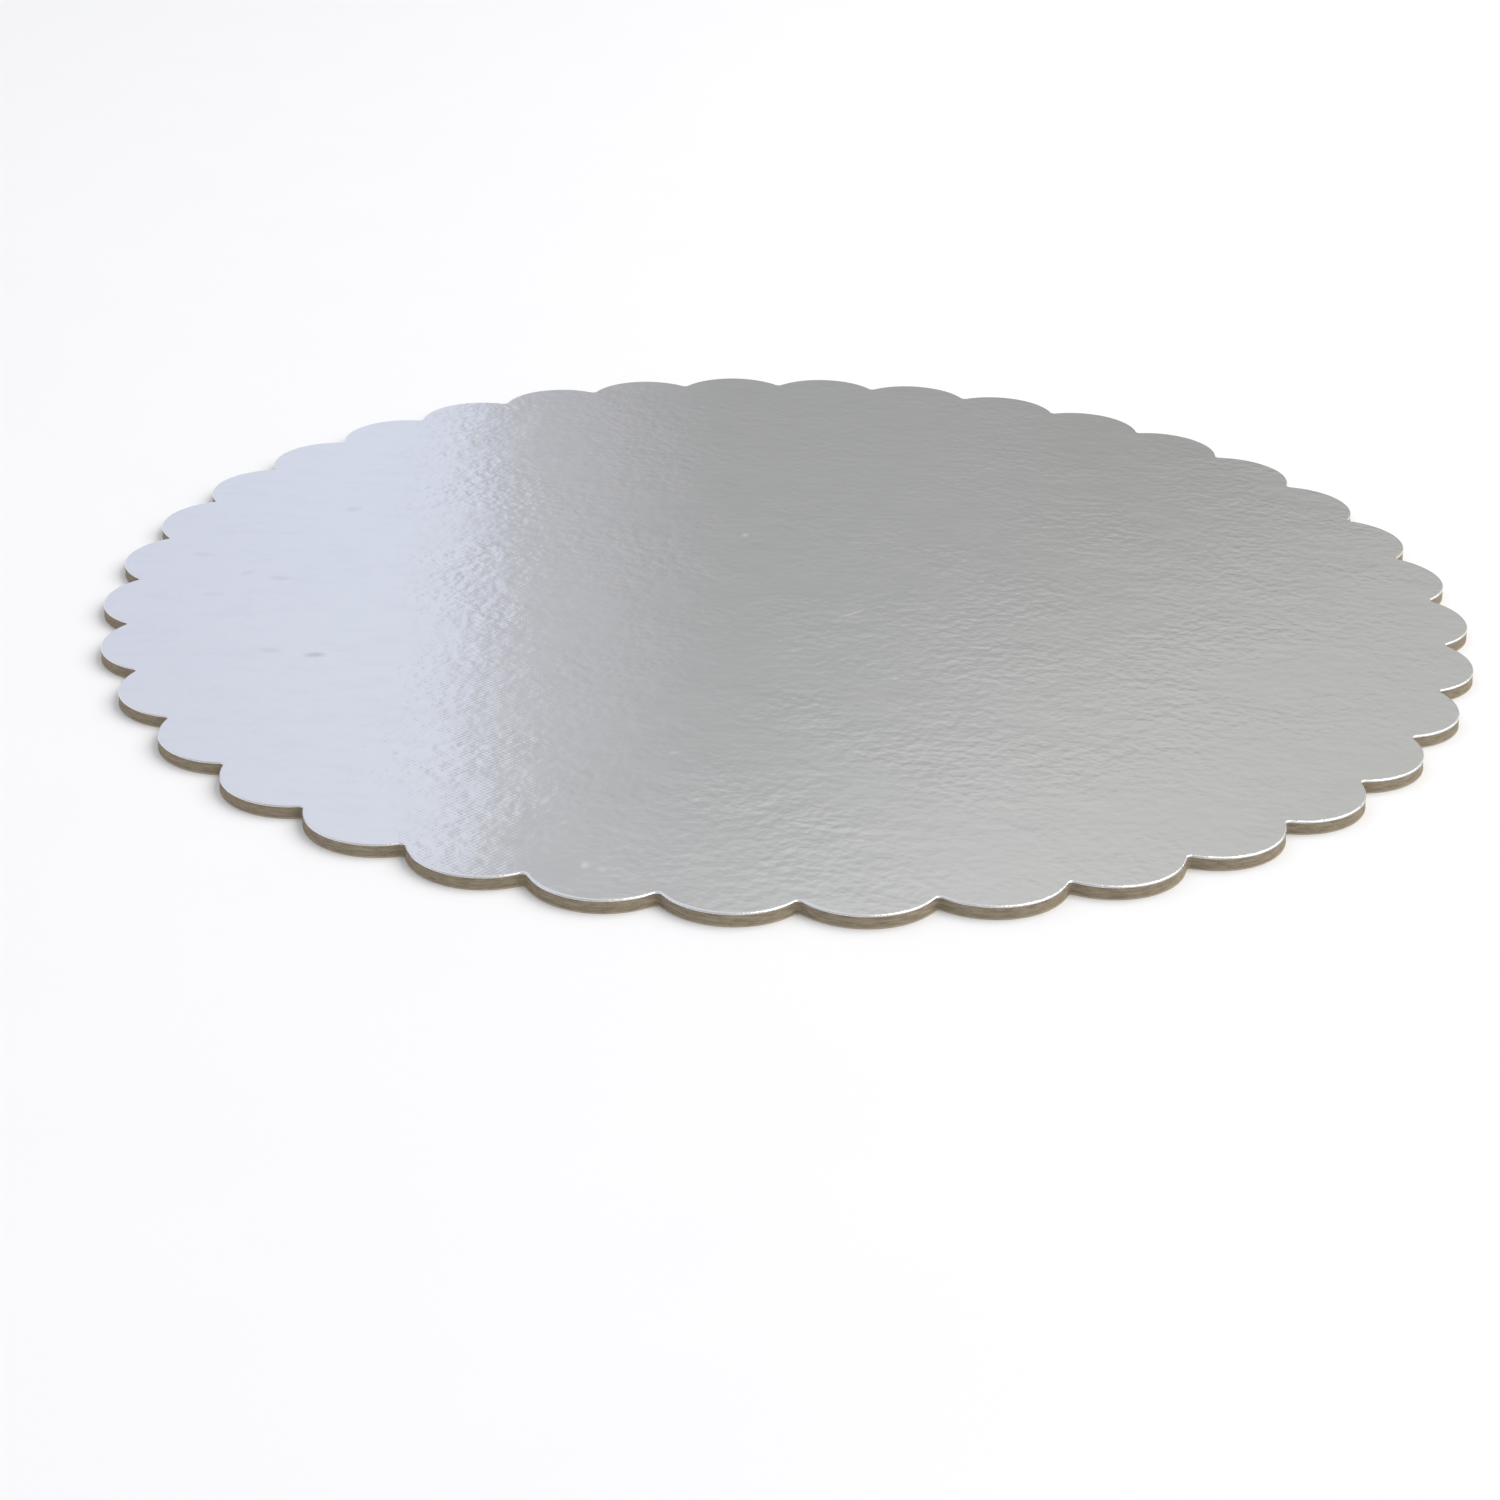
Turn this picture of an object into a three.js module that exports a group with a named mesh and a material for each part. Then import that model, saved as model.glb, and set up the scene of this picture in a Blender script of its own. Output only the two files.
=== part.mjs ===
// A round silver cake board with a scalloped edge. Millimetres, +Z up.
// The origin is the middle of the underside, and one scallop points along +X.
//
// The board is a laminate of two pieces, as the cut edge shows: a thick greyboard core, and
// a thin silver foil facing that the cutting die rolls over the upper edge of the core.

import * as THREE from 'three';
import { toCreasedNormals } from 'three/addons/utils/BufferGeometryUtils.js';

// Outline of the board, seen from above
const BOARD_DIAMETER = 305; // across two opposite scallop tips, a nominal 12 inches
const SCALLOP_COUNT = 36;
const NOTCH_DEPTH = 5.8; // from the circle through the tips down to the notch bottoms
const NOTCH_RADIUS = 0.8; // round at the bottom of each notch

// Section through the edge
const BOARD_THICKNESS = 2.8; // core and foil together
const FOIL_THICKNESS = 0.15; // foil with the paper that backs it
const CORE_EDGE_ROUND = 0.25; // upper edge of the core, under the rolled foil
const CUT_DRAFT = 0.1; // the lower edge stands out this far past the upper one, where the die came out

// Fineness of the curved faces
const SCALLOP_SEGMENTS = 12;
const NOTCH_SEGMENTS = 2;
const EDGE_ROUND_SEGMENTS = 2;
const CREASE_ANGLE = Math.PI / 6; // faces that meet at less than this are shaded as one

// Colours and finishes
const GREYBOARD_COLOUR = 0x94866a;
const GREYBOARD_ROUGHNESS = 0.95;
const FOIL_COLOUR = 0xc8cbd1;
const FOIL_ROUGHNESS = 0.25;

// The outline is a ring of convex arcs, the scallops, joined by small concave arcs, the
// notches. Both kinds share a tangent where they meet, so one triangle fixes them: board
// centre, scallop centre and notch centre. A notch centre lies outside the board's edge.
const SCALLOP_PITCH = (2 * Math.PI) / SCALLOP_COUNT;
const HALF_PITCH = SCALLOP_PITCH / 2;
const TIP_RADIUS = BOARD_DIAMETER / 2;
const NOTCH_CENTRE_RADIUS = TIP_RADIUS - NOTCH_DEPTH + NOTCH_RADIUS;
const NOTCH_CENTRE_ALONG = NOTCH_CENTRE_RADIUS * Math.cos(HALF_PITCH);
const NOTCH_CENTRE_ACROSS = NOTCH_CENTRE_RADIUS * Math.sin(HALF_PITCH);
const SCALLOP_RADIUS = scallopRadius();
const SCALLOP_CENTRE_RADIUS = TIP_RADIUS - SCALLOP_RADIUS;
const SCALLOP_HALF_SWEEP = Math.atan2(NOTCH_CENTRE_ACROSS, NOTCH_CENTRE_ALONG - SCALLOP_CENTRE_RADIUS);

// Heights of the section
const CORE_TOP = BOARD_THICKNESS - FOIL_THICKNESS;
const FOIL_SEAT = CORE_TOP - CORE_EDGE_ROUND;

// The radius at which a scallop touches the tip circle and also touches the notch arc:
// the distance between the two arcs' centres is the sum of their radii.
function scallopRadius() {
  const tipToNotchCentre = TIP_RADIUS - NOTCH_CENTRE_ALONG;
  const squares = tipToNotchCentre ** 2 + NOTCH_CENTRE_ACROSS ** 2 - NOTCH_RADIUS ** 2;
  return squares / (2 * (NOTCH_RADIUS + tipToNotchCentre));
}

// Points along one arc without its last point, which is the first point of the next arc.
function arcPoints(centreRadius, centreAngle, radius, startAngle, endAngle, segments) {
  const x = centreRadius * Math.cos(centreAngle);
  const y = centreRadius * Math.sin(centreAngle);
  const clockwise = endAngle < startAngle;
  const arc = new THREE.ArcCurve(x, y, radius, startAngle, endAngle, clockwise);
  return arc.getPoints(segments).slice(0, segments);
}

function scallopArc(middle, inset) {
  const start = middle - SCALLOP_HALF_SWEEP;
  const end = middle + SCALLOP_HALF_SWEEP;
  return arcPoints(SCALLOP_CENTRE_RADIUS, middle, SCALLOP_RADIUS - inset, start, end, SCALLOP_SEGMENTS);
}

// A notch starts where the scallop before it ends, so it faces that scallop's centre, and
// it turns the other way round until it faces the centre of the next scallop.
function notchArc(middle, inset) {
  const halfSweep = SCALLOP_HALF_SWEEP - HALF_PITCH;
  const start = middle + Math.PI + halfSweep;
  const end = middle + Math.PI - halfSweep;
  return arcPoints(NOTCH_CENTRE_RADIUS, middle, NOTCH_RADIUS + inset, start, end, NOTCH_SEGMENTS);
}

// The whole outline, anticlockwise. The inset moves it inwards by the same distance all
// round, measured square to the edge, and keeps the number of points.
function outline(inset) {
  const points = [];
  for (let scallop = 0; scallop < SCALLOP_COUNT; scallop++) {
    const middle = scallop * SCALLOP_PITCH;
    points.push(...scallopArc(middle, inset));
    points.push(...notchArc(middle + HALF_PITCH, inset));
  }
  return points;
}

// Quarter round in the section, from the upright side up to the flat top. A section point
// holds its inset from the outline as x and its height as y.
function quarterRound(radius, outerInset, baseHeight) {
  const arc = new THREE.ArcCurve(outerInset + radius, baseHeight, radius, Math.PI, Math.PI / 2, true);
  return arc.getPoints(EDGE_ROUND_SEGMENTS);
}

// A closed solid from a section. The section runs from the flat face that looks down,
// round the edge, to the flat face that looks up.
function solidFromSection(section) {
  const rings = section.map((point) => outline(point.x));
  const ringSize = rings[0].length;
  const positions = rings.flatMap((ring, level) => ring.flatMap((p) => [p.x, p.y, section[level].y]));
  const indices = [];
  for (let level = 0; level < section.length - 1; level++) {
    for (let i = 0; i < ringSize; i++) {
      const here = level * ringSize + i;
      const next = level * ringSize + ((i + 1) % ringSize);
      indices.push(here, next, next + ringSize);
      indices.push(here, next + ringSize, here + ringSize);
    }
  }
  for (const [a, b, c] of THREE.ShapeUtils.triangulateShape(rings[0], [])) {
    indices.push(a, c, b);
  }
  const lastRing = (section.length - 1) * ringSize;
  for (const [a, b, c] of THREE.ShapeUtils.triangulateShape(rings.at(-1), [])) {
    indices.push(lastRing + a, lastRing + b, lastRing + c);
  }
  const geometry = new THREE.BufferGeometry();
  geometry.setAttribute('position', new THREE.Float32BufferAttribute(positions, 3));
  geometry.setIndex(indices);
  return toCreasedNormals(geometry, CREASE_ANGLE);
}

// The face where the foil lies on the core: from the cut side in along the seat, then up
// round the core's edge to its flat top.
function bondSection() {
  return quarterRound(CORE_EDGE_ROUND, CUT_DRAFT + FOIL_THICKNESS, FOIL_SEAT);
}

function boardCore() {
  const lowerEdge = new THREE.Vector2(0, 0);
  const foilRim = new THREE.Vector2(CUT_DRAFT, FOIL_SEAT);
  const section = [lowerEdge, foilRim, ...bondSection()];
  const material = new THREE.MeshStandardMaterial({
    color: GREYBOARD_COLOUR,
    roughness: GREYBOARD_ROUGHNESS,
    metalness: 0,
  });
  const mesh = new THREE.Mesh(solidFromSection(section), material);
  mesh.name = 'board_core';
  return mesh;
}

function foilFacing() {
  const underside = bondSection().reverse();
  const outside = quarterRound(CORE_EDGE_ROUND + FOIL_THICKNESS, CUT_DRAFT, FOIL_SEAT);
  const material = new THREE.MeshStandardMaterial({
    color: FOIL_COLOUR,
    roughness: FOIL_ROUGHNESS,
    metalness: 1,
  });
  const mesh = new THREE.Mesh(solidFromSection([...underside, ...outside]), material);
  mesh.name = 'foil_facing';
  return mesh;
}

const cakeBoard = new THREE.Group();
cakeBoard.add(boardCore(), foilFacing());

export default cakeBoard;
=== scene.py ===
# Looks of a round silver cake board with a scalloped edge, built around its CAD frame.
# Metres, +Z up. The origin is the middle of the underside, and one scallop points along +X.

import math

import bpy
import numpy as np
from mathutils import Matrix, Vector, noise
from mathutils.geometry import delaunay_2d_cdt


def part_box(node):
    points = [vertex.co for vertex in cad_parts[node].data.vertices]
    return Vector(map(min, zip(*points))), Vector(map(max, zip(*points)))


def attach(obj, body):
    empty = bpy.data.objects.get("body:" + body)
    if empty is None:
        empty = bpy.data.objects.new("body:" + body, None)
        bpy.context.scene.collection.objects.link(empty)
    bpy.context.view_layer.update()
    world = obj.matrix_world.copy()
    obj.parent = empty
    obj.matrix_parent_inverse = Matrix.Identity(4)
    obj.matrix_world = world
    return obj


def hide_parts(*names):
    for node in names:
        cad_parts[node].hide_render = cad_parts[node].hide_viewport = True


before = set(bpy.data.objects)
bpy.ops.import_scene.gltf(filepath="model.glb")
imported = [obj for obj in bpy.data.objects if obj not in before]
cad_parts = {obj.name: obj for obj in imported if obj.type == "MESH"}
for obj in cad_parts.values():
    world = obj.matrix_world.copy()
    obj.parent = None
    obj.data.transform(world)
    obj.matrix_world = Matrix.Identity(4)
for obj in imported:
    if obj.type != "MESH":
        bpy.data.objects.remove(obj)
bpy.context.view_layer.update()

MM = 0.001

# Sizes that the frame holds
CORE_LOW, CORE_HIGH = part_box("board_core")
FOIL_LOW, FOIL_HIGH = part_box("foil_facing")
TIP_RADIUS = CORE_HIGH.x
CORE_TOP = CORE_HIGH.z
BOARD_TOP = FOIL_HIGH.z
FOIL_SEAT = FOIL_LOW.z
CUT_DRAFT = CORE_HIGH.x - FOIL_HIGH.x
FOIL_THICKNESS = BOARD_TOP - CORE_TOP
CORE_EDGE_ROUND = CORE_TOP - FOIL_SEAT

# The rest of the outline, as in the CAD model
SCALLOP_COUNT = 36
NOTCH_DEPTH = 5.8 * MM
NOTCH_RADIUS = 0.8 * MM

# Fineness of the meshes
SCALLOP_SAMPLES = 56
NOTCH_SAMPLES = 8
ROLL_SEGMENTS = 10
HIDDEN_ROUND_SEGMENTS = 2
FOIL_GRID_PITCH = 2.2 * MM
UNDERSIDE_GRID_PITCH = 6 * MM
INSIDE_OUTLINE = 1  # the triangulation keeps only what lies inside the outline
MERGE_DISTANCE = 1e-9

# Relief of the cut side of the core
SIDE_ROWS = 14
LIP_HEIGHT = 0.28 * MM  # lowest ply, which the die leaves standing proud
LIP_STEP = 0.05 * MM
SIDE_RAGGEDNESS = 0.05 * MM
STRATUM_HEIGHT = 0.35 * MM
STRATUM_LENGTH = 5 * MM
FRAY_LENGTH = STRATUM_LENGTH / 6  # of the finer raggedness within a stratum
FRAY_SHARE = 0.6
FRAY_SEED = 50.0

# Relief of the foil
FLAT_RING_STEPS = (0.15 * MM, 0.45 * MM)
ROLL_WIDTH = 0.44 * MM  # level width over which the sheet bends down
ROLL_WANDER = 0.13 * MM  # how far that width changes along the edge
ROLL_WANDER_LENGTH = 7 * MM
ROLL_SEED = 9.0
WAVINESS_HEIGHT = 0.02 * MM
WAVINESS_LENGTH = 28 * MM
WAVINESS_SEED = 3.0

# Camera, in a frame that is turned about +Z so that it looks along +Y
IMAGE_SIZE = 1500
SENSOR_WIDTH = 36.0  # mm
FOCAL_LENGTH_PX = 2816.8
CAMERA_TURN = math.radians(4.281)
CAMERA_ELEVATION = math.radians(25.670)
CAMERA_ROLL = math.radians(1.230)
CAMERA_DISTANCE = 563.1 * MM
CAMERA_TARGET = Vector((-7.50 * MM, -84.65 * MM, BOARD_TOP))
CLIP_START = 0.01
CLIP_END = 100.0

STUDIO_TURN = Matrix.Rotation(CAMERA_TURN, 4, "Z")


# Outline of the board

def outline_arcs():
    """Radii and centre distances of the scallop and notch arcs, and half a scallop's sweep."""
    half_pitch = math.pi / SCALLOP_COUNT
    notch_centre = TIP_RADIUS - NOTCH_DEPTH + NOTCH_RADIUS
    along = notch_centre * math.cos(half_pitch)
    across = notch_centre * math.sin(half_pitch)
    to_tip = TIP_RADIUS - along
    squares = to_tip ** 2 + across ** 2 - NOTCH_RADIUS ** 2
    scallop_radius = squares / (2 * (NOTCH_RADIUS + to_tip))
    scallop_centre = TIP_RADIUS - scallop_radius
    half_sweep = math.atan2(across, along - scallop_centre)
    return scallop_radius, scallop_centre, notch_centre, half_sweep


def edge_line():
    """Points of the outline, anticlockwise, and the outward directions square to it there."""
    scallop_radius, scallop_centre, notch_centre, half_sweep = outline_arcs()
    pitch = 2 * math.pi / SCALLOP_COUNT
    notch_sweep = half_sweep - pitch / 2
    points = []
    normals = []
    for scallop in range(SCALLOP_COUNT):
        middle = scallop * pitch
        angles = middle + np.linspace(-half_sweep, half_sweep, SCALLOP_SAMPLES, endpoint=False)
        spokes = np.column_stack((np.cos(angles), np.sin(angles)))
        centre = scallop_centre * np.array((math.cos(middle), math.sin(middle)))
        points.append(centre + scallop_radius * spokes)
        normals.append(spokes)
        notch = middle + pitch / 2
        turns = np.linspace(notch_sweep, -notch_sweep, NOTCH_SAMPLES, endpoint=False)
        angles = notch + math.pi + turns
        spokes = np.column_stack((np.cos(angles), np.sin(angles)))
        centre = notch_centre * np.array((math.cos(notch), math.sin(notch)))
        points.append(centre + NOTCH_RADIUS * spokes)
        normals.append(-spokes)
    return np.concatenate(points), np.concatenate(normals)


EDGE_POINTS, EDGE_NORMALS = edge_line()


def ring(insets, heights):
    """One closed row of points along the edge, at one inset and height or at one a column."""
    insets = np.broadcast_to(insets, len(EDGE_POINTS))
    heights = np.broadcast_to(heights, len(EDGE_POINTS))
    flat = EDGE_POINTS - insets[:, None] * EDGE_NORMALS
    return np.column_stack((flat, heights))


def seat_round():
    """Insets and heights round the upper edge of the core, where the foil is glued to it."""
    outer_inset = CUT_DRAFT + FOIL_THICKNESS
    steps = []
    for turn in np.linspace(0, math.pi / 2, HIDDEN_ROUND_SEGMENTS + 1):
        inset = outer_inset + CORE_EDGE_ROUND * (1 - math.cos(turn))
        steps.append((inset, FOIL_SEAT + CORE_EDGE_ROUND * math.sin(turn)))
    return steps


def edge_noise(along, height=0.0, upright=1.0, seed=0.0):
    """Noise from -1 to 1 at each column. Its features are about along by upright in size."""
    level = height / upright + seed
    return np.array([noise.noise((x / along, y / along, level)) for x, y in EDGE_POINTS])


# Meshes

class SolidBuilder:
    """Gathers rings and faces of one closed solid."""

    def __init__(self):
        self.points = []
        self.faces = []
        self.count = 0

    def add_ring(self, points):
        start = self.count
        self.points.append(points)
        self.count += len(points)
        return start

    def add_band(self, lower, upper):
        size = len(EDGE_POINTS)
        here = np.arange(size)
        after = (here + 1) % size
        quads = np.column_stack((lower + here, lower + after, upper + after, upper + here))
        self.faces.extend(map(tuple, quads.tolist()))

    def add_row(self, previous, points):
        """Adds a ring and joins it to the one before."""
        start = self.add_ring(points)
        self.add_band(previous, start)
        return start

    def add_cap(self, start, boundary, pitch, facing_up, relief=None):
        """Fills a ring over an even grid. Relief gives each grid point's height over the ring."""
        height = boundary[0][2]
        outline = boundary[:, :2]
        inner = grid_points(pitch)
        size = len(outline)
        coords = [Vector(p) for p in np.concatenate((outline, inner)).tolist()]
        edges = [(i, (i + 1) % size) for i in range(size)]
        found = delaunay_2d_cdt(coords, edges, [], INSIDE_OUTLINE, MERGE_DISTANCE)
        triangles, sources = found[2], found[3]
        heights = np.full(len(inner), height)
        if relief is not None:
            heights = heights + relief(inner)
        inner_start = self.add_ring(np.column_stack((inner, heights)))
        places = list(range(start, start + size))
        places += range(inner_start, inner_start + len(inner))
        for face in triangles:
            corners = [places[sources[i][0]] for i in face]
            self.faces.append(tuple(corners if facing_up else corners[::-1]))

    def finish(self, name):
        mesh = bpy.data.meshes.new(name)
        mesh.from_pydata(np.concatenate(self.points).tolist(), [], self.faces)
        mesh.validate()
        mesh.shade_smooth()
        made = bpy.data.objects.new(name, mesh)
        bpy.context.scene.collection.objects.link(made)
        return made


def grid_points(pitch):
    """Points of an even triangular grid that keep clear of the notches."""
    reach = TIP_RADIUS - NOTCH_DEPTH - pitch
    row_step = pitch * math.sqrt(3) / 2
    rows = int(reach / row_step)
    points = []
    for row in range(-rows, rows + 1):
        y = row * row_step
        shift = pitch / 2 if row % 2 else 0.0
        half = math.sqrt(reach ** 2 - y ** 2)
        x = np.arange(-math.floor(half / pitch), math.floor(half / pitch)) * pitch + shift
        points.append(np.column_stack((x, np.full(len(x), y))))
    return np.concatenate(points)


def side_inset(height):
    """Inset of the cut side: its draft, the step above the lowest ply, and the ragged plies."""
    draft = CUT_DRAFT * height / FOIL_SEAT
    step = LIP_STEP if height > LIP_HEIGHT else 0.0
    coarse = edge_noise(STRATUM_LENGTH, height, STRATUM_HEIGHT)
    fine = edge_noise(FRAY_LENGTH, height, STRATUM_HEIGHT, seed=FRAY_SEED)
    ragged = np.clip(coarse + FRAY_SHARE * fine, -1, 1)
    return draft + step + SIDE_RAGGEDNESS * (0.5 + 0.5 * ragged)


def build_core():
    """The greyboard disc: a ragged cut side over a proud lowest ply, and the seat of the foil."""
    solid = SolidBuilder()
    bottom = ring(0.0, 0.0)
    previous = solid.add_ring(bottom)
    solid.add_cap(previous, bottom, UNDERSIDE_GRID_PITCH, facing_up=False)
    for row in range(1, SIDE_ROWS):
        height = FOIL_SEAT * row / SIDE_ROWS
        previous = solid.add_row(previous, ring(side_inset(height), height))
    previous = solid.add_row(previous, ring(CUT_DRAFT, FOIL_SEAT))
    for inset, height in seat_round():
        last = ring(inset, height)
        previous = solid.add_row(previous, last)
    solid.add_cap(previous, last, UNDERSIDE_GRID_PITCH, facing_up=True)
    return solid.finish("greyboard_core")


def foil_relief(points):
    """Faint waviness of the laminated sheet, downwards from the flat top."""
    heights = []
    for x, y in points:
        value = noise.noise((x / WAVINESS_LENGTH, y / WAVINESS_LENGTH, WAVINESS_SEED))
        heights.append(-WAVINESS_HEIGHT * (0.5 + 0.5 * value))
    return np.array(heights)


def build_foil():
    """The foil facing, rolled over the upper edge, as a thin closed shell."""
    solid = SolidBuilder()
    hidden = seat_round()[::-1]
    first = ring(*hidden[0])
    previous = solid.add_ring(first)
    solid.add_cap(previous, first, UNDERSIDE_GRID_PITCH, facing_up=False)
    for inset, height in hidden[1:]:
        previous = solid.add_row(previous, ring(inset, height))
    width = ROLL_WIDTH + ROLL_WANDER * edge_noise(ROLL_WANDER_LENGTH, seed=ROLL_SEED)
    top = BOARD_TOP - WAVINESS_HEIGHT / 2
    for turn in np.linspace(0, math.pi / 2, ROLL_SEGMENTS + 1):
        inset = CUT_DRAFT + width * (1 - math.cos(turn))
        height = FOIL_SEAT + (top - FOIL_SEAT) * math.sin(turn)
        previous = solid.add_row(previous, ring(inset, height))
    for step in FLAT_RING_STEPS:
        last = ring(CUT_DRAFT + width + step, top)
        previous = solid.add_row(previous, last)
    solid.add_cap(previous, last, FOIL_GRID_PITCH, facing_up=True, relief=foil_relief)
    return solid.finish("silver_foil_facing")


# Shader nodes

def add(tree, kind, inputs, **settings):
    """Adds a node. Its inputs are values or other nodes' outputs, by socket name or number."""
    made = tree.nodes.new(kind)
    for name, value in settings.items():
        setattr(made, name, value)
    for name, value in inputs.items():
        if isinstance(value, bpy.types.NodeSocket):
            tree.links.new(value, made.inputs[name])
        else:
            made.inputs[name].default_value = value
    return made


def calculate(tree, operation, *values):
    made = add(tree, "ShaderNodeMath", dict(enumerate(values)), operation=operation)
    return made.outputs[0]


def mix_colours(tree, factor, first, second, mode="MIX"):
    inputs = {0: factor, 6: first, 7: second}
    made = add(tree, "ShaderNodeMix", inputs, data_type="RGBA", blend_type=mode)
    return made.outputs[2]


def remap(tree, value, low, high, to_low=0.0, to_high=1.0):
    """Stretches low..high to to_low..to_high, clamped and with soft ends."""
    inputs = {"Value": value, "From Min": low, "From Max": high,
              "To Min": to_low, "To Max": to_high}
    made = add(tree, "ShaderNodeMapRange", inputs, interpolation_type="SMOOTHSTEP")
    return made.outputs["Result"]


def millimetres(tree, stretch=(1.0, 1.0, 1.0), turn=0.0):
    """The place on the object in millimetres, turned about +Z and stretched."""
    place = add(tree, "ShaderNodeTexCoord", {}).outputs["Object"]
    scale = [s / MM for s in stretch]
    inputs = {"Vector": place, "Rotation": (0.0, 0.0, turn), "Scale": scale}
    return add(tree, "ShaderNodeMapping", inputs, vector_type="POINT").outputs["Vector"]


def grain(tree, vector, size, detail=1.0, distortion=0.0):
    """Smooth noise from 0 to 1, with features about size millimetres wide."""
    inputs = {"Vector": vector, "Scale": 1 / size, "Detail": detail, "Distortion": distortion}
    return add(tree, "ShaderNodeTexNoise", inputs).outputs["Fac"]


def new_material(name):
    material = bpy.data.materials.new(name)
    material.use_nodes = True
    tree = material.node_tree
    return material, tree, tree.nodes["Principled BSDF"]


def apply_bump(tree, shader, height):
    """Bends the shader's normals by a relief in millimetres."""
    inputs = {"Strength": 1.0, "Distance": MM, "Height": height}
    bump = add(tree, "ShaderNodeBump", inputs)
    tree.links.new(bump.outputs["Normal"], shader.inputs["Normal"])


def ridges(tree, wavelength, angle):
    """Parallel rounded ridges from 0 to 1, with the given wavelength in millimetres."""
    scale = 2 * math.pi / (WAVE_RATE * wavelength)
    vector = millimetres(tree, turn=-angle)
    inputs = {"Vector": vector, "Scale": scale, "Distortion": HATCH_DISTORTION,
              "Detail": HATCH_DETAIL, "Detail Scale": HATCH_DETAIL_SCALE}
    made = add(tree, "ShaderNodeTexWave", inputs, wave_type="BANDS", bands_direction="X")
    return made.outputs["Fac"]


# Relief of the foil's surface, finer than its mesh
WAVE_RATE = 20  # radians that the wave texture advances over one unit of its vector
HATCH_WAVELENGTH = 0.93  # mm
HATCH_ANGLE = math.radians(53)
HATCH_HEIGHT = 0.0058  # mm
HATCH_CROSS_SHARE = 0.6  # of the second set of ridges
HATCH_FADE = (-52.0, -28.0)  # mm along X, from which to which the hatch grows weaker
HATCH_REST = 0.12
HATCH_DISTORTION = 1.0
HATCH_DETAIL = 1.5
HATCH_DETAIL_SCALE = 0.5
HATCH_PATCH_SIZE = 4.5  # mm, of the parts where the hatch is pressed in more or less
HATCH_PATCH_CUTS = (0.36, 0.62)
HATCH_PATCH_RANGE = (0.3, 1.0)
PEEL_SIZE = 2.4  # mm
PEEL_HEIGHT = 0.056  # mm
PEEL_GROWTH = (-20.0, 70.0)  # mm along X, from which to which the peel grows stronger
PEEL_GAIN = 1.12
PEEL_PATCH_SIZE = 32.0  # mm, of the parts where the peel is strong or weak
PEEL_PATCH_CUTS = (0.32, 0.68)
PEEL_PATCH_RANGE = (0.55, 1.45)
ROLL_ZONE = (-0.02, -0.10)  # mm below the top, where the stretched foil turns dull and crinkled
ROLL_DULLNESS = 0.16
CRINKLE_SIZE = 0.5  # mm
CRINKLE_HEIGHT = 0.075  # mm
SWELL_SIZE = 9.0  # mm
SWELL_HEIGHT = 0.06  # mm
SPECK_SPACING = 9.0  # mm
SPECK_HEIGHT = 0.006  # mm
SPECK_CHANCE = (0.2, 1.0)  # range of a cell's random value over which its speck grows
SPECK_REACH = 0.075  # in cells
SPECK_SOFTNESS = 0.05

# Tones and gloss of the foil
FOIL_TONES = ((0.87, 0.875, 0.885, 1), (0.885, 0.89, 0.895, 1))
FOIL_TONE_SIZE = 25.0  # mm
HAZE_COLOUR = (0.85, 0.855, 0.865, 1)
HAZE_STRETCH = (0.6, 1.3, 1)
HAZE_SIZE = 5.0  # mm
HAZE_CUTS = (0.45, 0.75)
HAZE_STRENGTH = 0.9
RUB_COLOUR = (0.68, 0.68, 0.69, 1)
RUB_ROUGHNESS = 0.12
# Near-white of the pale specks, which are painted highlights
PAINTED_HIGHLIGHT_COLOUR = (0.95, 0.95, 0.94, 1)
ROUGHNESS_SIZE = 12.0  # mm
ROUGHNESS_CUTS = (0.3, 0.7)
ROUGHNESS_RANGE = (0.09, 0.12)
MARK_FADE = (1.5, 0.2)  # in half-widths of a mark, from its outside in
MARK_DEPTH = 1000.0  # mm, so that a mark's height doesn't matter

# Small rub marks: x, y, direction in degrees, length, width and strength
RUB_MARKS = (
    (-97.4, -49.7, 12, 4.4, 2.6, 0.9),
    (-107.4, -48.5, -8, 5.0, 2.6, 0.4),
    (-114.7, -8.4, 2, 5.0, 2.4, 0.4),
    (-122.8, -6.4, 60, 4.0, 2.4, 0.3),
    (-127.3, -19.6, -5, 5.0, 2.6, 0.25),
    (-107.4, 37.0, 5, 4.0, 4.0, 0.35),
    (-135.7, 3.6, 0, 5.0, 3.0, 0.25),
)

# Small pale specks, painted highlights for glints off tiny bumps: x, y, direction in degrees,
# length, width and strength
PAINTED_HIGHLIGHT_SPECKS = (
    (-27.2, -137.4, 0, 1.6, 2.6, 0.24),
    (-23.9, -138.5, 30, 1.8, 2.0, 0.14),
    (-38.4, -112.0, 80, 4.4, 1.6, 0.18),
    (-12.2, 32.4, 0, 1.6, 2.4, 0.2),
    (15.6, -12.2, 42, 7.0, 0.9, 0.22),
    (26.4, -46.1, 0, 1.6, 1.6, 0.14),
    (-33.6, -121.0, 50, 2.2, 1.3, 0.12),
    (58.0, -30.0, 30, 1.8, 1.4, 0.12),
    (-16.0, -88.0, 20, 2.4, 1.2, 0.14),
)


def one_mark(tree, place, x, y, direction, length, width, strength):
    """Strength of one soft-edged oval mark."""
    inputs = {"Vector": place, "Location": (x, y, 0), "Rotation": (0, 0, math.radians(direction)),
              "Scale": (length / 2, width / 2, MARK_DEPTH)}
    local = add(tree, "ShaderNodeMapping", inputs, vector_type="TEXTURE").outputs["Vector"]
    away = add(tree, "ShaderNodeVectorMath", {0: local}, operation="LENGTH").outputs["Value"]
    return remap(tree, away, *MARK_FADE, 0.0, strength)


def marks_strength(tree, place, marks):
    """Summed strength of a list of marks."""
    total = one_mark(tree, place, *marks[0])
    for mark in marks[1:]:
        total = calculate(tree, "ADD", total, one_mark(tree, place, *mark))
    return total


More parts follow.
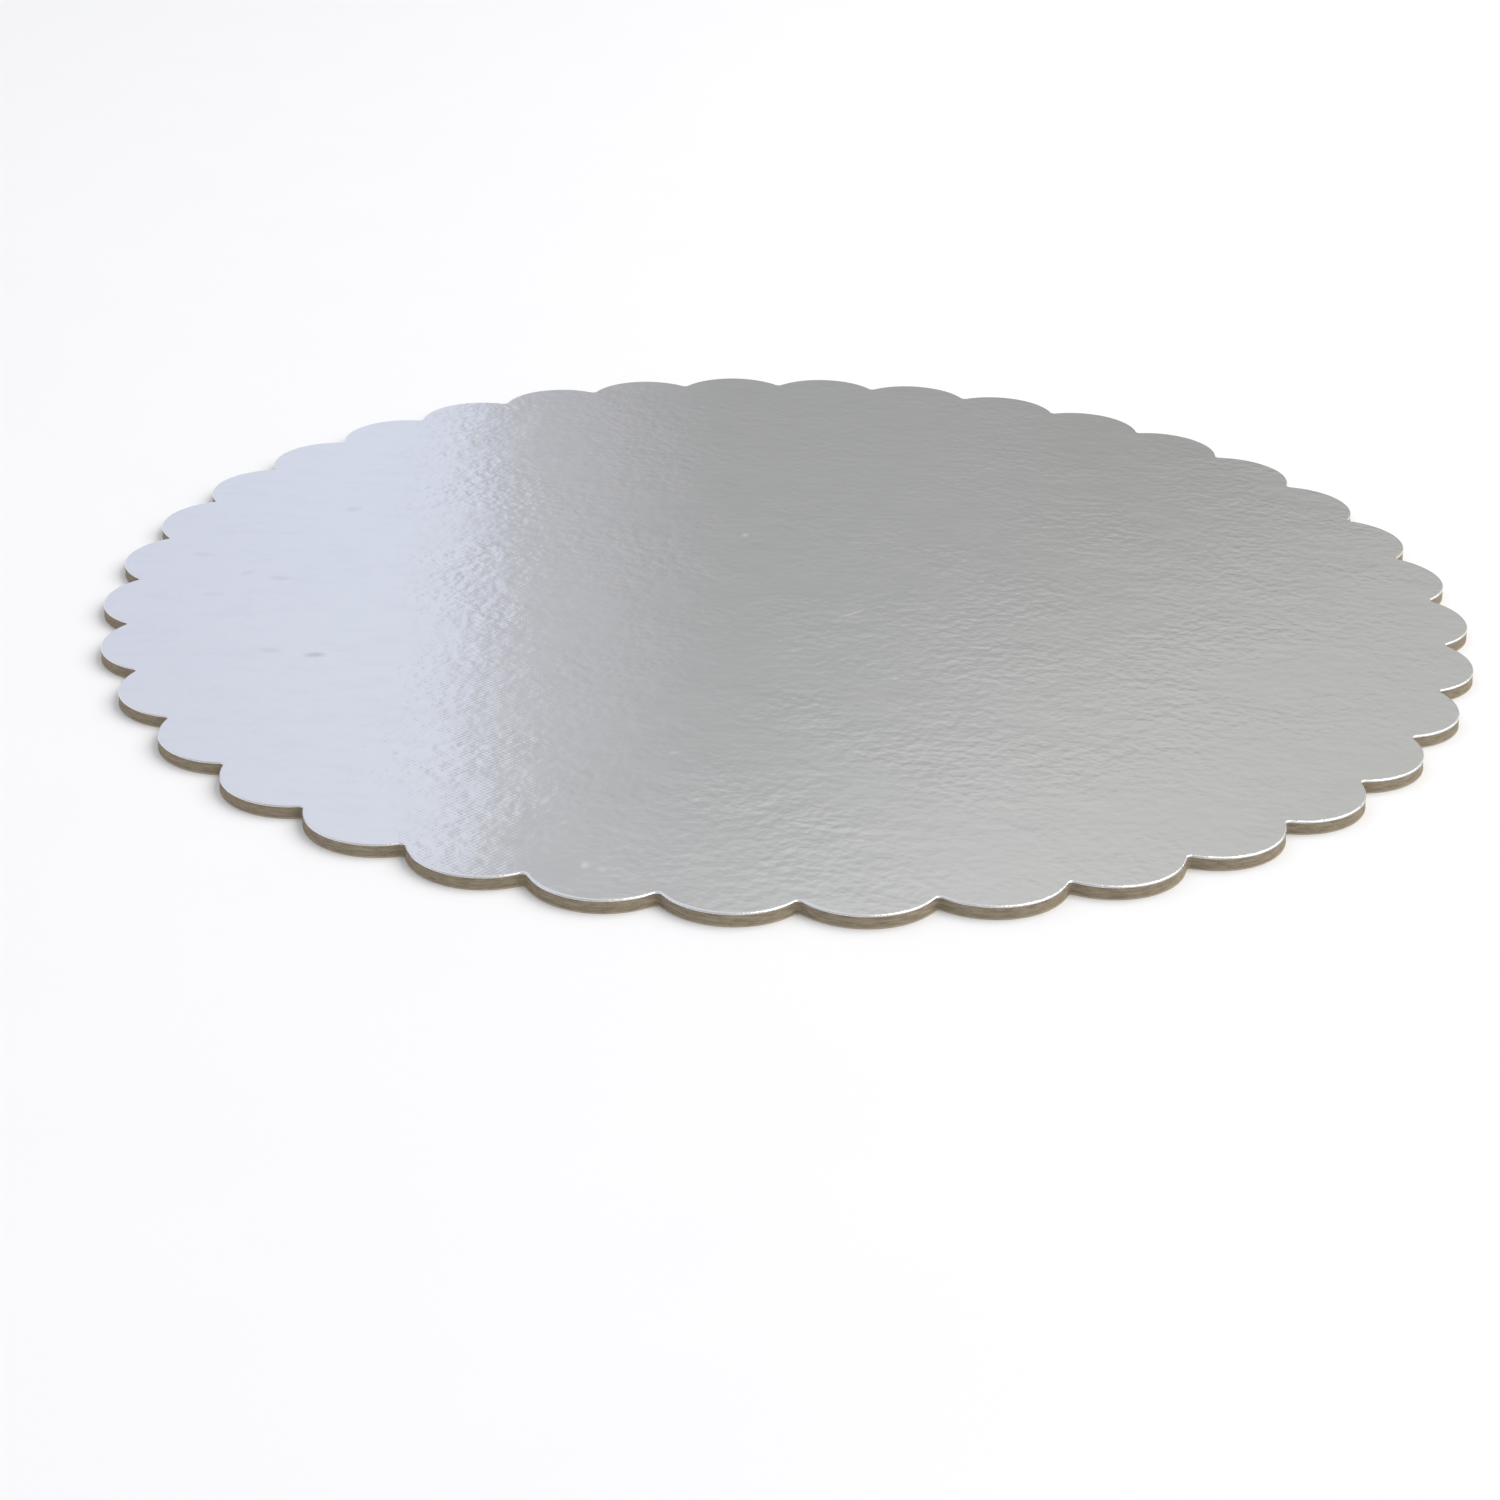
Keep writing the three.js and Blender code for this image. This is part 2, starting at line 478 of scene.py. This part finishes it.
def specks(tree, place):
    """Sparse small pimples under the foil, from 0 to 1."""
    inputs = {"Vector": place, "Scale": 1 / SPECK_SPACING, "Randomness": 1.0}
    cells = add(tree, "ShaderNodeTexVoronoi", inputs, voronoi_dimensions="2D")
    size = add(tree, "ShaderNodeSeparateColor", {"Color": cells.outputs["Color"]}).outputs[0]
    reach = remap(tree, size, *SPECK_CHANCE, 0.0, SPECK_REACH)
    closeness = calculate(tree, "SUBTRACT", reach, cells.outputs["Distance"])
    return remap(tree, closeness, 0.0, SPECK_SOFTNESS)


def rolled_share(tree, place):
    """1 on the part of the foil that bends down at the edge, 0 on the flat top."""
    height = add(tree, "ShaderNodeSeparateXYZ", {"Vector": place}).outputs["Z"]
    top = BOARD_TOP / MM
    return remap(tree, height, top + ROLL_ZONE[0], top + ROLL_ZONE[1])


def peel_height(tree, place, across):
    """Orange peel in millimetres, stronger in some patches and towards +X."""
    peel = grain(tree, place, PEEL_SIZE, detail=1.6)
    peel = calculate(tree, "MULTIPLY", peel, PEEL_HEIGHT)
    peel = calculate(tree, "MULTIPLY", peel, remap(tree, across, *PEEL_GROWTH, 1.0, PEEL_GAIN))
    patches = grain(tree, place, PEEL_PATCH_SIZE, detail=1.5)
    patches = remap(tree, patches, *PEEL_PATCH_CUTS, *PEEL_PATCH_RANGE)
    return calculate(tree, "MULTIPLY", peel, patches)


def hatch_height(tree, place, across):
    """Two crossing sets of fine ridges in millimetres, pressed in unevenly."""
    main = ridges(tree, HATCH_WAVELENGTH, HATCH_ANGLE + math.pi / 2)
    cross = ridges(tree, HATCH_WAVELENGTH, HATCH_ANGLE)
    worn = grain(tree, place, HATCH_PATCH_SIZE)
    worn = remap(tree, worn, *HATCH_PATCH_CUTS, *HATCH_PATCH_RANGE)
    worn = calculate(tree, "MULTIPLY", worn, remap(tree, across, *HATCH_FADE, 1.0, HATCH_REST))
    hatch = calculate(tree, "MULTIPLY_ADD", cross, HATCH_CROSS_SHARE, main)
    hatch = calculate(tree, "MULTIPLY", hatch, HATCH_HEIGHT)
    return calculate(tree, "MULTIPLY", hatch, worn)


def foil_height(tree, place, rolled):
    """Relief of the foil in millimetres, with crinkles where it is rolled over the edge."""
    across = add(tree, "ShaderNodeSeparateXYZ", {"Vector": place}).outputs["X"]
    swell = calculate(tree, "MULTIPLY", grain(tree, place, SWELL_SIZE), SWELL_HEIGHT)
    height = calculate(tree, "ADD", peel_height(tree, place, across), swell)
    height = calculate(tree, "ADD", height, hatch_height(tree, place, across))
    crinkle = grain(tree, place, CRINKLE_SIZE, detail=2.0)
    crinkle = calculate(tree, "MULTIPLY", crinkle, CRINKLE_HEIGHT)
    height = calculate(tree, "MULTIPLY_ADD", crinkle, rolled, height)
    bumps = calculate(tree, "MULTIPLY", specks(tree, place), SPECK_HEIGHT)
    return calculate(tree, "ADD", height, bumps)


def foil_tone(tree, place, rubbed, pale):
    """Colour of the foil: slightly uneven, dull where rubbed, and paler on the specks, which are
    painted highlights.
    """
    tone = grain(tree, place, FOIL_TONE_SIZE, detail=2.0)
    tone = mix_colours(tree, tone, *FOIL_TONES)
    haze = grain(tree, millimetres(tree, stretch=HAZE_STRETCH), HAZE_SIZE, detail=3.0)
    haze = remap(tree, haze, *HAZE_CUTS, 0.0, HAZE_STRENGTH)
    tone = mix_colours(tree, haze, tone, HAZE_COLOUR)
    tone = mix_colours(tree, rubbed, tone, RUB_COLOUR)
    # Painted highlights: the pale specks get a near-white colour
    return mix_colours(tree, pale, tone, PAINTED_HIGHLIGHT_COLOUR)


def foil_material():
    """Bright foil with a few rub marks and painted highlights on small specks, duller where it is
    rolled over the edge.
    """
    material, tree, shader = new_material("silver_foil")
    place = millimetres(tree)
    rubbed = marks_strength(tree, place, RUB_MARKS)
    # Painted highlights: pale specks, whiter and not metallic
    pale = marks_strength(tree, place, PAINTED_HIGHLIGHT_SPECKS)
    rolled = rolled_share(tree, place)
    tree.links.new(foil_tone(tree, place, rubbed, pale), shader.inputs["Base Color"])
    # The painted highlight specks are not metallic, so they stay pale from every side
    tree.links.new(calculate(tree, "SUBTRACT", 1.0, pale), shader.inputs["Metallic"])
    roughness = grain(tree, place, ROUGHNESS_SIZE, detail=2.0)
    roughness = remap(tree, roughness, *ROUGHNESS_CUTS, *ROUGHNESS_RANGE)
    roughness = calculate(tree, "MULTIPLY_ADD", rubbed, RUB_ROUGHNESS, roughness)
    roughness = calculate(tree, "MULTIPLY_ADD", rolled, ROLL_DULLNESS, roughness)
    tree.links.new(roughness, shader.inputs["Roughness"])
    apply_bump(tree, shader, foil_height(tree, place, rolled))
    return material


GREYBOARD_DARK = (0.225, 0.183, 0.130, 1)
GREYBOARD_LIGHT = (0.39, 0.328, 0.240, 1)
GREYBOARD_LIP = (0.54, 0.47, 0.36, 1)
GREYBOARD_CUTS = (0.32, 0.68)
GREYBOARD_ROUGHNESS = 0.92
GREYBOARD_SPECULAR = 0.25
GREYBOARD_RELIEF = 0.08  # mm
LAYER_STRETCH = (1, 1, 8)
LAYER_SIZE = 2.6  # mm
LAYER_SHARE = 0.65
FIBRE_STRETCH = (1, 1, 3)
FIBRE_SIZE = 0.35  # mm
FIBRE_SHARE = 0.35
LIP_FADE = (0.36, 0.26)  # mm above the underside, from the layers to the lowest ply
LIP_WANDER = 0.12  # mm
LIP_WANDER_SIZE = 1.5  # mm
LIP_STRENGTH = 0.7


def greyboard_material():
    """Recycled card: flattened fibres in faint layers, and a paler lowest ply."""
    material, tree, shader = new_material("greyboard")
    place = millimetres(tree)
    layered = millimetres(tree, stretch=LAYER_STRETCH)
    layers = grain(tree, layered, LAYER_SIZE, detail=3.0, distortion=0.4)
    layers = calculate(tree, "MULTIPLY", layers, LAYER_SHARE)
    flattened = millimetres(tree, stretch=FIBRE_STRETCH)
    fibres = grain(tree, flattened, FIBRE_SIZE, detail=2.0, distortion=0.6)
    fibres = calculate(tree, "MULTIPLY", fibres, FIBRE_SHARE)
    blend = calculate(tree, "ADD", layers, fibres)
    colour = remap(tree, blend, *GREYBOARD_CUTS)
    colour = mix_colours(tree, colour, GREYBOARD_DARK, GREYBOARD_LIGHT)
    height = add(tree, "ShaderNodeSeparateXYZ", {"Vector": place}).outputs["Z"]
    wander = grain(tree, place, LIP_WANDER_SIZE, detail=2.0)
    wander = calculate(tree, "MULTIPLY", wander, LIP_WANDER)
    lip = remap(tree, calculate(tree, "ADD", height, wander), *LIP_FADE)
    lip = calculate(tree, "MULTIPLY", lip, LIP_STRENGTH)
    colour = mix_colours(tree, lip, colour, GREYBOARD_LIP)
    tree.links.new(colour, shader.inputs["Base Color"])
    shader.inputs["Roughness"].default_value = GREYBOARD_ROUGHNESS
    shader.inputs["Specular IOR Level"].default_value = GREYBOARD_SPECULAR
    apply_bump(tree, shader, calculate(tree, "MULTIPLY", blend, GREYBOARD_RELIEF))
    return material


# Studio

def studio_point(right, away, up):
    """A place given in metres to the camera's right, away from it and up, from the board."""
    return STUDIO_TURN @ Vector((right, away, up))


def build_camera():
    back = Vector((0, -math.cos(CAMERA_ELEVATION), math.sin(CAMERA_ELEVATION)))
    level_right = Vector((1, 0, 0))
    level_up = back.cross(level_right)
    right = math.cos(CAMERA_ROLL) * level_right + math.sin(CAMERA_ROLL) * level_up
    up = back.cross(right)
    place = Matrix((right, up, back)).transposed().to_4x4()
    place.translation = CAMERA_TARGET + CAMERA_DISTANCE * back
    data = bpy.data.cameras.new("camera")
    data.sensor_width = SENSOR_WIDTH
    data.sensor_fit = "HORIZONTAL"
    data.lens = FOCAL_LENGTH_PX * SENSOR_WIDTH / IMAGE_SIZE
    data.clip_start = CLIP_START
    data.clip_end = CLIP_END
    camera = bpy.data.objects.new("camera", data)
    camera.matrix_world = STUDIO_TURN @ place
    bpy.context.scene.collection.objects.link(camera)
    bpy.context.scene.camera = camera


def add_softbox(name, place, target, size, power, colour):
    """A rectangular light that faces a target. Power is in watts, size is (width, height)."""
    data = bpy.data.lights.new(name, "AREA")
    data.shape = "RECTANGLE"
    data.size, data.size_y = size
    data.energy = power
    data.color = colour
    light = bpy.data.objects.new(name, data)
    light.location = place
    direction = Vector(target) - Vector(place)
    light.rotation_euler = direction.to_track_quat("-Z", "Y").to_euler()
    light.visible_camera = False
    bpy.context.scene.collection.objects.link(light)


# What the foil mirrors, by direction from the board. Bearings are seen from above and grow
# to the camera's right, from straight ahead of it. Heights are above the horizon.
AIR_LEVEL = 0.446  # brightness at AIR_MIDDLE
AIR_MIDDLE = math.radians(24)
AIR_RISE = 0.0089  # brightness for each degree of height
AIR_LOW = math.radians(14)
AIR_HIGH = math.radians(34)
HORIZON_TOP = math.radians(14)
HORIZON_GAIN = 0.2
GLOW_GAIN = 0.15  # the paler part, to the right and higher up
GLOW_TILT = 0.71
GLOW_MIDDLE = math.radians(28.6)
GLOW_SOFTNESS = math.radians(4.5)
SIDE_FALL = 0.05
SIDE_FALL_BEARINGS = (math.radians(3), math.radians(16))
WARM_BEARINGS = (0.0, math.radians(12))
WARM_COLOUR = (0.997, 1.0, 0.955, 1)
CARD_BEARINGS = (math.radians(-0.7), math.radians(-4.6))
CARD_GAIN = (0.105, 0.105, 0.132, 1)
CARD_FADE_HEIGHTS = (math.radians(29), math.radians(24))
CARD_FADE = 0.35
PANEL_EDGE_SLANT = 0.045
PANEL_EDGE_BEARING = math.radians(-5.9)  # at PANEL_EDGE_HEIGHT
PANEL_EDGE_HEIGHT = math.radians(22)
PANEL_EDGE_SOFTNESS = math.radians(1.0)
PANEL_FAR_EDGE = math.radians(-110)
PANEL_TOP = math.radians(76)
PANEL_TOP_SOFTNESS = 0.05  # radians
PANEL_FAR_SOFTNESS = 0.1  # radians
PANEL_LOW_COLOUR = (0.735, 0.775, 0.89, 1)
PANEL_HIGH_COLOUR = (0.758, 0.785, 0.872, 1)
PANEL_HEIGHTS = (math.radians(20), math.radians(28))
PANEL_DIM_COLOUR = (0.955, 0.945, 0.955, 1)
PANEL_DIM_BEARINGS = (math.radians(-8), math.radians(-15))
WHITE = (1, 1, 1, 1)

# Light that rims the scallops, placed from the board to the right, away and up
KEY_PLACE = (1.35, 0.2, 1.6)
KEY_SIZE = (3.0, 1.9)
KEY_POWER = 38.0  # watts
KEY_COLOUR = (1.0, 0.988, 0.998)

# Floor
FLOOR_SIZE = 40.0
FLOOR_LEVEL = -0.02 * MM
FLOOR_TONES = ((0.93, 0.93, 0.932, 1), (0.945, 0.945, 0.947, 1))
FLOOR_TONE_SIZE = 40.0  # mm
FLOOR_ROUGHNESS = 0.9
FLOOR_SPECULAR = 0.1


def dot(tree, direction, axis):
    """How far a direction leans along an axis of the studio, from -1 to 1."""
    inputs = {0: direction, 1: STUDIO_TURN.to_3x3() @ Vector(axis)}
    return add(tree, "ShaderNodeVectorMath", inputs, operation="DOT_PRODUCT").outputs["Value"]


def air_brightness(tree, bearing, height):
    """Grey of the studio air: paler with height, and paler to the right."""
    limits = {"Value": height, "Min": AIR_LOW, "Max": AIR_HIGH}
    clamped = add(tree, "ShaderNodeClamp", limits).outputs[0]
    offset = calculate(tree, "SUBTRACT", clamped, AIR_MIDDLE)
    base = calculate(tree, "MULTIPLY_ADD", offset, AIR_RISE * math.degrees(1), AIR_LEVEL)
    horizon = remap(tree, height, HORIZON_TOP, 0.0, 0.0, HORIZON_GAIN)
    base = calculate(tree, "ADD", base, horizon)
    reach = calculate(tree, "MULTIPLY_ADD", bearing, GLOW_TILT, height)
    start = GLOW_MIDDLE - GLOW_SOFTNESS
    end = GLOW_MIDDLE + GLOW_SOFTNESS
    glow = remap(tree, reach, start, end, 0.0, GLOW_GAIN)
    fall = remap(tree, bearing, *SIDE_FALL_BEARINGS, 0.0, SIDE_FALL)
    return calculate(tree, "SUBTRACT", calculate(tree, "ADD", base, glow), fall)


def air_colour(tree, bearing, height):
    """The studio air, a little warmer to the right."""
    warm = mix_colours(tree, remap(tree, bearing, *WARM_BEARINGS), WHITE, WARM_COLOUR)
    return mix_colours(tree, 1.0, warm, air_brightness(tree, bearing, height), "MULTIPLY")


def panel_span(tree, bearing, height):
    """1 under the panel's top edge and short of its far edge, and 0 past them."""
    below = remap(tree, height, PANEL_TOP + PANEL_TOP_SOFTNESS, PANEL_TOP)
    near = remap(tree, bearing, PANEL_FAR_EDGE, PANEL_FAR_EDGE + PANEL_FAR_SOFTNESS)
    return calculate(tree, "MULTIPLY", below, near)


def panel_colour(tree, bearing, height):
    """The panel's pale blue, which changes with height and dims to the left."""
    heights = remap(tree, height, *PANEL_HEIGHTS)
    panel = mix_colours(tree, heights, PANEL_LOW_COLOUR, PANEL_HIGH_COLOUR)
    dim = mix_colours(tree, remap(tree, bearing, *PANEL_DIM_BEARINGS), WHITE, PANEL_DIM_COLOUR)
    return mix_colours(tree, 1.0, panel, dim, "MULTIPLY")


def panel_share(tree, bearing, height, span):
    """Where the panel shows. Its near edge leans with height."""
    slanted = calculate(tree, "MULTIPLY_ADD", height, PANEL_EDGE_SLANT, bearing)
    middle = PANEL_EDGE_BEARING + PANEL_EDGE_SLANT * PANEL_EDGE_HEIGHT
    edge = remap(tree, slanted, middle + PANEL_EDGE_SOFTNESS, middle - PANEL_EDGE_SOFTNESS)
    return calculate(tree, "MULTIPLY", edge, span)


def build_world():
    """Studio air, with a tall bright panel to the left and a dim card beside it."""
    world = bpy.data.worlds.new("studio")
    bpy.context.scene.world = world
    world.use_nodes = True
    tree = world.node_tree
    direction = add(tree, "ShaderNodeTexCoord", {}).outputs["Generated"]
    height = calculate(tree, "ARCSINE", dot(tree, direction, (0, 0, 1)))
    right = dot(tree, direction, (1, 0, 0))
    bearing = calculate(tree, "ARCTAN2", right, dot(tree, direction, (0, 1, 0)))
    span = panel_span(tree, bearing, height)
    card = calculate(tree, "MULTIPLY", remap(tree, bearing, *CARD_BEARINGS), span)
    fade = remap(tree, height, *CARD_FADE_HEIGHTS, CARD_FADE, 1.0)
    card = calculate(tree, "MULTIPLY", card, fade)
    colour = air_colour(tree, bearing, height)
    colour = mix_colours(tree, card, colour, CARD_GAIN, "ADD")
    share = panel_share(tree, bearing, height, span)
    colour = mix_colours(tree, share, colour, panel_colour(tree, bearing, height))
    tree.links.new(colour, tree.nodes["Background"].inputs["Color"])
    tree.nodes["Background"].inputs["Strength"].default_value = 1.0


def build_floor():
    place = (0, 0, FLOOR_LEVEL)
    bpy.ops.mesh.primitive_plane_add(size=FLOOR_SIZE, location=place)
    floor = bpy.context.object
    floor.name = "floor"
    material, tree, shader = new_material("floor_paper")
    tone = grain(tree, millimetres(tree), FLOOR_TONE_SIZE, detail=3.0)
    tree.links.new(mix_colours(tree, tone, *FLOOR_TONES), shader.inputs["Base Color"])
    shader.inputs["Roughness"].default_value = FLOOR_ROUGHNESS
    shader.inputs["Specular IOR Level"].default_value = FLOOR_SPECULAR
    floor.data.materials.append(material)


def build_studio():
    build_camera()
    build_world()
    build_floor()
    board = Vector((0, 0, 0))
    place = studio_point(*KEY_PLACE)
    add_softbox("key_softbox", place, board, KEY_SIZE, KEY_POWER, KEY_COLOUR)


bpy.context.scene.view_settings.view_transform = "Standard"
bpy.context.scene.view_settings.look = "None"
build_studio()

core = build_core()
core.data.materials.append(greyboard_material())
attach(core, "root")
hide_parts("board_core")

foil = build_foil()
foil.data.materials.append(foil_material())
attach(foil, "root")
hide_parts("foil_facing")
